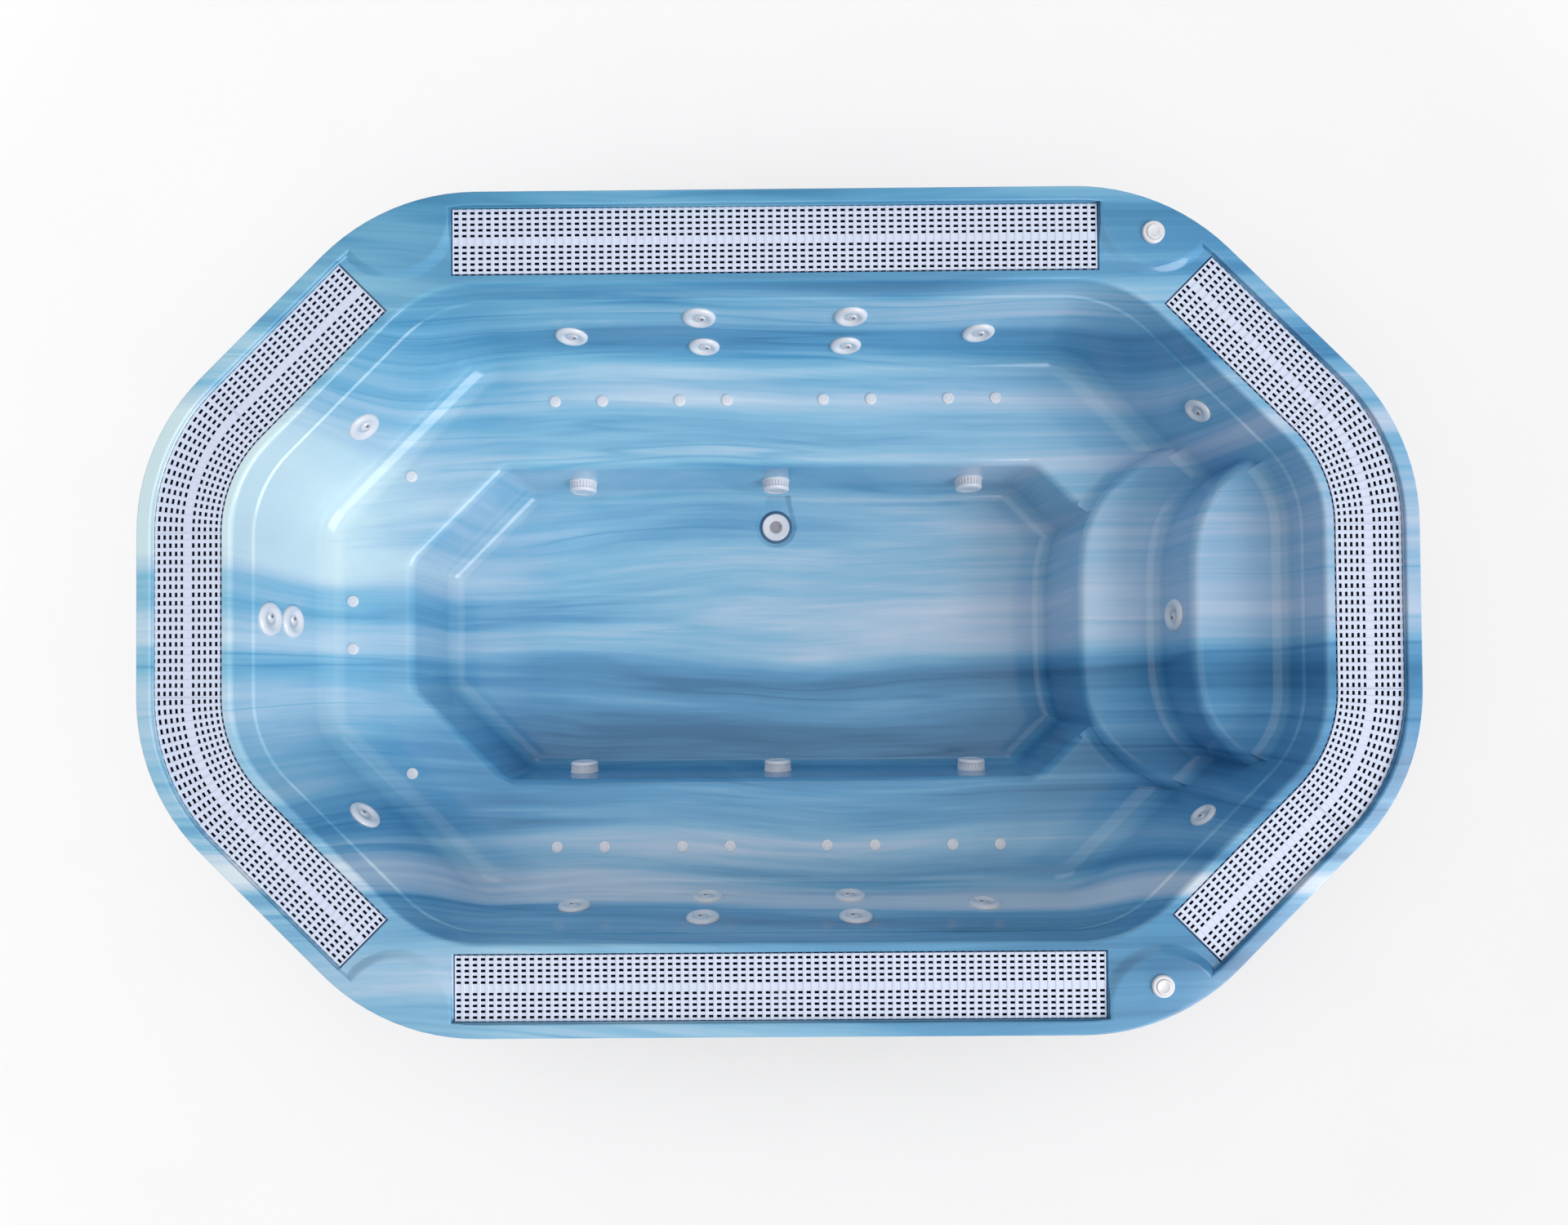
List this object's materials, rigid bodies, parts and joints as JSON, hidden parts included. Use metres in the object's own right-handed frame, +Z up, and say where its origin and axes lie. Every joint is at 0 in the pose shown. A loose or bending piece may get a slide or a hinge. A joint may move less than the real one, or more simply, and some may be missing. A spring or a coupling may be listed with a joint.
{
  "type": "hot tub",
  "caption": "Long octagonal overflow hot tub: moulded shell with footwell, seat and entry treads, slatted channel gratings, turning jets, air injectors and a steel frame on levelling feet.",
  "frame": {"origin": "on the floor under the middle of the tub, in the plane of the foot pads", "axes": "+Z up, +X along the tub towards the entry treads, +Y towards the rear long side, the one with the drain recess"},
  "size_m": [3.51, 2.32, 0.9508],
  "materials": {
    "marbled_acrylic": "gloss, marbled in horizontal streaks",
    "white_fittings": "semi-gloss",
    "grating_plastic": "satin, grained on top",
    "pipework": "satin",
    "galvanised_steel": "galvanised",
    "foot_rubber": "matt"
  },
  "bodies": {
    "tub": {"air_rail_front": "white_fittings", "air_rail_left": "white_fittings", "air_rail_rear": "white_fittings", "button_body_front": "white_fittings", "button_body_rear": "white_fittings", "drain_cover": "white_fittings", "suction_front_left": "white_fittings", "suction_front_middle": "white_fittings", "suction_front_right": "white_fittings", "suction_pipe_front": "pipework", "suction_pipe_rear": "pipework", "suction_rear_left": "white_fittings", "suction_rear_middle": "white_fittings", "suction_rear_right": "white_fittings", "support_frame": "galvanised_steel", "tub_shell": "marbled_acrylic", "water_pipe_front": "pipework", "water_pipe_left": "pipework", "water_pipe_rear": "pipework", "water_pipe_right": "pipework"},
    "grating_rear": {"grating_rear": "grating_plastic"},
    "grating_front": {"grating_front": "grating_plastic"},
    "grating_left": {"grating_left_bend_front": "grating_plastic", "grating_left_bend_rear": "grating_plastic", "grating_left_end": "grating_plastic", "grating_left_leg_front": "grating_plastic", "grating_left_leg_rear": "grating_plastic"},
    "grating_right": {"grating_right_bend_front": "grating_plastic", "grating_right_bend_rear": "grating_plastic", "grating_right_end": "grating_plastic", "grating_right_leg_front": "grating_plastic", "grating_right_leg_rear": "grating_plastic"},
    "jet_rear_outer_left": {"jet_rear_outer_left": "white_fittings"},
    "jet_rear_upper_left": {"jet_rear_upper_left": "white_fittings"},
    "jet_rear_lower_left": {"jet_rear_lower_left": "white_fittings"},
    "jet_rear_outer_right": {"jet_rear_outer_right": "white_fittings"},
    "jet_rear_upper_right": {"jet_rear_upper_right": "white_fittings"},
    "jet_rear_lower_right": {"jet_rear_lower_right": "white_fittings"},
    "jet_front_outer_left": {"jet_front_outer_left": "white_fittings"},
    "jet_front_upper_left": {"jet_front_upper_left": "white_fittings"},
    "jet_front_lower_left": {"jet_front_lower_left": "white_fittings"},
    "jet_front_outer_right": {"jet_front_outer_right": "white_fittings"},
    "jet_front_upper_right": {"jet_front_upper_right": "white_fittings"},
    "jet_front_lower_right": {"jet_front_lower_right": "white_fittings"},
    "jet_left_end_upper": {"jet_left_end_upper": "white_fittings"},
    "jet_left_end_lower": {"jet_left_end_lower": "white_fittings"},
    "jet_left_corner_rear": {"jet_left_corner_rear": "white_fittings"},
    "jet_left_corner_front": {"jet_left_corner_front": "white_fittings"},
    "jet_right_corner_rear": {"jet_right_corner_rear": "white_fittings"},
    "jet_right_corner_front": {"jet_right_corner_front": "white_fittings"},
    "jet_step_riser": {"jet_step_riser": "white_fittings"},
    "button_cap_front": {"button_cap_front": "white_fittings"},
    "button_cap_rear": {"button_cap_rear": "white_fittings"},
    "foot_front_left": {"foot_front_left": "foot_rubber"},
    "foot_front_middle": {"foot_front_middle": "foot_rubber"},
    "foot_front_right": {"foot_front_right": "foot_rubber"},
    "foot_rear_left": {"foot_rear_left": "foot_rubber"},
    "foot_rear_middle": {"foot_rear_middle": "foot_rubber"},
    "foot_rear_right": {"foot_rear_right": "foot_rubber"}
  },
  "joints": [
    {"name": "grating_rear_lift", "type": "slide", "parent": "tub", "child": "grating_rear", "axis": [0, 0, 1], "range_m": [0, 0.25]},
    {"name": "grating_front_lift", "type": "slide", "parent": "tub", "child": "grating_front", "axis": [0, 0, 1], "range_m": [0, 0.25]},
    {"name": "grating_left_lift", "type": "slide", "parent": "tub", "child": "grating_left", "axis": [0, 0, 1], "range_m": [0, 0.25]},
    {"name": "grating_right_lift", "type": "slide", "parent": "tub", "child": "grating_right", "axis": [0, 0, 1], "range_m": [0, 0.25]},
    {"name": "jet_rear_outer_left_turn", "type": "hinge", "parent": "tub", "child": "jet_rear_outer_left", "pos_m": [-0.632, 0.884, 0.64316], "axis": [0, -0.997, 0.0778], "range_deg": [0, 120]},
    {"name": "jet_rear_upper_left_turn", "type": "hinge", "parent": "tub", "child": "jet_rear_upper_left", "pos_m": [-0.226, 0.89206, 0.74639], "axis": [0, -0.997, 0.0778], "range_deg": [0, 120]},
    {"name": "jet_rear_lower_left_turn", "type": "hinge", "parent": "tub", "child": "jet_rear_lower_left", "pos_m": [-0.226, 0.8783, 0.57023], "axis": [0, -0.997, 0.0778], "range_deg": [0, 120]},
    {"name": "jet_rear_outer_right_turn", "type": "hinge", "parent": "tub", "child": "jet_rear_outer_right", "pos_m": [0.632, 0.884, 0.64316], "axis": [0, -0.997, 0.0778], "range_deg": [0, 120]},
    {"name": "jet_rear_upper_right_turn", "type": "hinge", "parent": "tub", "child": "jet_rear_upper_right", "pos_m": [0.226, 0.89206, 0.74639], "axis": [0, -0.997, 0.0778], "range_deg": [0, 120]},
    {"name": "jet_rear_lower_right_turn", "type": "hinge", "parent": "tub", "child": "jet_rear_lower_right", "pos_m": [0.226, 0.8783, 0.57023], "axis": [0, -0.997, 0.0778], "range_deg": [0, 120]},
    {"name": "jet_front_outer_left_turn", "type": "hinge", "parent": "tub", "child": "jet_front_outer_left", "pos_m": [-0.632, -0.884, 0.64316], "axis": [0, 0.997, 0.0778], "range_deg": [0, 120]},
    {"name": "jet_front_upper_left_turn", "type": "hinge", "parent": "tub", "child": "jet_front_upper_left", "pos_m": [-0.226, -0.89206, 0.74639], "axis": [0, 0.997, 0.0778], "range_deg": [0, 120]},
    {"name": "jet_front_lower_left_turn", "type": "hinge", "parent": "tub", "child": "jet_front_lower_left", "pos_m": [-0.226, -0.8783, 0.57023], "axis": [0, 0.997, 0.0778], "range_deg": [0, 120]},
    {"name": "jet_front_outer_right_turn", "type": "hinge", "parent": "tub", "child": "jet_front_outer_right", "pos_m": [0.632, -0.884, 0.64316], "axis": [0, 0.997, 0.0778], "range_deg": [0, 120]},
    {"name": "jet_front_upper_right_turn", "type": "hinge", "parent": "tub", "child": "jet_front_upper_right", "pos_m": [0.226, -0.89206, 0.74639], "axis": [0, 0.997, 0.0778], "range_deg": [0, 120]},
    {"name": "jet_front_lower_right_turn", "type": "hinge", "parent": "tub", "child": "jet_front_lower_right", "pos_m": [0.226, -0.8783, 0.57023], "axis": [0, 0.997, 0.0778], "range_deg": [0, 120]},
    {"name": "jet_left_end_upper_turn", "type": "hinge", "parent": "tub", "child": "jet_left_end_upper", "pos_m": [-1.49283, 0, 0.77036], "axis": [0.9998, 0, 0.018], "range_deg": [0, 120]},
    {"name": "jet_left_end_lower_turn", "type": "hinge", "parent": "tub", "child": "jet_left_end_lower", "pos_m": [-1.49088, 0, 0.66214], "axis": [0.9998, 0, 0.018], "range_deg": [0, 120]},
    {"name": "jet_left_corner_rear_turn", "type": "hinge", "parent": "tub", "child": "jet_left_corner_rear", "pos_m": [-1.25644, 0.59197, 0.68845], "axis": [0.7058, -0.7058, 0.06], "range_deg": [0, 120]},
    {"name": "jet_left_corner_front_turn", "type": "hinge", "parent": "tub", "child": "jet_left_corner_front", "pos_m": [-1.25644, -0.59197, 0.68845], "axis": [0.7058, 0.7058, 0.06], "range_deg": [0, 120]},
    {"name": "jet_right_corner_rear_turn", "type": "hinge", "parent": "tub", "child": "jet_right_corner_rear", "pos_m": [1.25355, 0.59995, 0.74839], "axis": [-0.7058, -0.7058, 0.06], "range_deg": [0, 120]},
    {"name": "jet_right_corner_front_turn", "type": "hinge", "parent": "tub", "child": "jet_right_corner_front", "pos_m": [1.25355, -0.59995, 0.74839], "axis": [-0.7058, 0.7058, 0.06], "range_deg": [0, 120]},
    {"name": "jet_step_riser_turn", "type": "hinge", "parent": "tub", "child": "jet_step_riser", "pos_m": [1.226, 0, 0.6483], "axis": [-1, 0, 0], "range_deg": [0, 120]},
    {"name": "button_cap_front_press", "type": "slide", "parent": "tub", "child": "button_cap_front", "axis": [0, 0, 1], "range_m": [-0.005, 0], "stiffness_N_per_m": 500, "springref_m": 0.003},
    {"name": "button_cap_rear_press", "type": "slide", "parent": "tub", "child": "button_cap_rear", "axis": [0, 0, 1], "range_m": [-0.005, 0], "stiffness_N_per_m": 500, "springref_m": 0.003},
    {"name": "foot_front_left_level", "type": "slide", "parent": "tub", "child": "foot_front_left", "axis": [0, 0, 1], "range_m": [-0.03, 0]},
    {"name": "foot_front_middle_level", "type": "slide", "parent": "tub", "child": "foot_front_middle", "axis": [0, 0, 1], "range_m": [-0.03, 0]},
    {"name": "foot_front_right_level", "type": "slide", "parent": "tub", "child": "foot_front_right", "axis": [0, 0, 1], "range_m": [-0.03, 0]},
    {"name": "foot_rear_left_level", "type": "slide", "parent": "tub", "child": "foot_rear_left", "axis": [0, 0, 1], "range_m": [-0.03, 0]},
    {"name": "foot_rear_middle_level", "type": "slide", "parent": "tub", "child": "foot_rear_middle", "axis": [0, 0, 1], "range_m": [-0.03, 0]},
    {"name": "foot_rear_right_level", "type": "slide", "parent": "tub", "child": "foot_rear_right", "axis": [0, 0, 1], "range_m": [-0.03, 0]}
  ]
}
